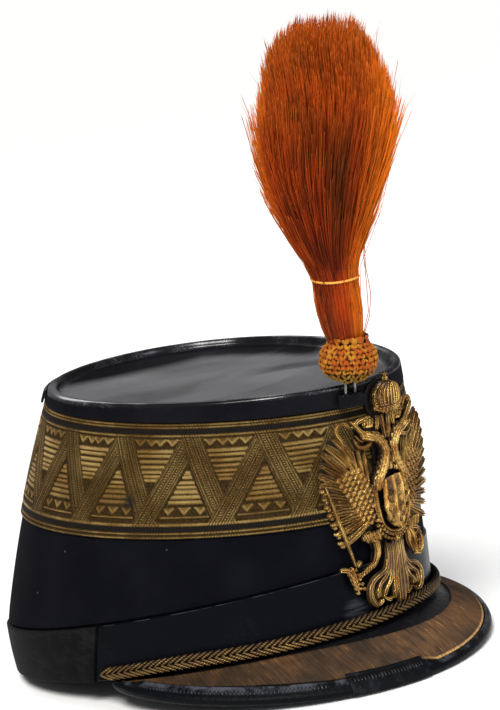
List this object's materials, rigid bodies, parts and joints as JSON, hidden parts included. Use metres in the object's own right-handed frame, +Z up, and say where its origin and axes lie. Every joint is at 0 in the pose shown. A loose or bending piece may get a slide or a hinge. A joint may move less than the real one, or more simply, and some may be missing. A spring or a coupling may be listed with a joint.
{
  "type": "shako hat",
  "caption": "Stiff black dress shako with leather top and peak, gold lace band, braid, openwork gilt eagle badge and tall orange horsehair plume.",
  "frame": {"origin": "middle of the footprint of the whole hat, on the surface it stands on", "axes": "+Z up, the plume's height; the front of the hat faces -Y; the wearer's right side is -X"},
  "size_m": [0.1886, 0.2454, 0.2802],
  "materials": {
    "black_cloth": "deep navy-black felted wool cloth",
    "patent_leather": "black patent leather, finely cracked at the rim",
    "strip_leather": "black leather, semi-gloss",
    "gold_lace": "woven gold-wire lace, tarnished",
    "matt_leather": "dull black-brown leather",
    "band_patent": "glossy black patent leather",
    "peak_leather": "black patent leather",
    "binding_leather": "black leather, semi-gloss, stitched",
    "patch_leather": "black leather, semi-gloss, stitched",
    "bullion_thread": "laid gold-wire thread, darkened and worn",
    "gold_braid": "twisted gold and dark cord",
    "badge_gilt": "gilt brass, antique, rubbed",
    "socket_leather": "black leather",
    "wire_near": "dull iron wire",
    "wire_far": "dull iron wire",
    "cup_wool": "crocheted wool, yellow",
    "ball_wool": "crocheted wool, orange and yellow",
    "orange_hair": "dyed horsehair, orange-red",
    "tie_thread": "yellow-orange thread"
  },
  "bodies": {
    "root": {"crown_body": "black_cloth", "crown_top": "patent_leather", "rear_rim_strip": "strip_leather", "lace_band": "gold_lace", "base_band_rear": "matt_leather", "base_band_front": "band_patent", "peak": "peak_leather", "peak_binding": "binding_leather", "binding_patch": "patch_leather", "peak_bullion": "bullion_thread", "braid": "gold_braid", "eagle_badge": "badge_gilt", "plume_socket": "socket_leather", "plume_wire_near": "wire_near", "plume_wire_far": "wire_far", "plume_cup": "cup_wool", "plume_ball": "ball_wool", "plume_hair": "orange_hair", "plume_tie": "tie_thread"}
  },
  "joints": []
}
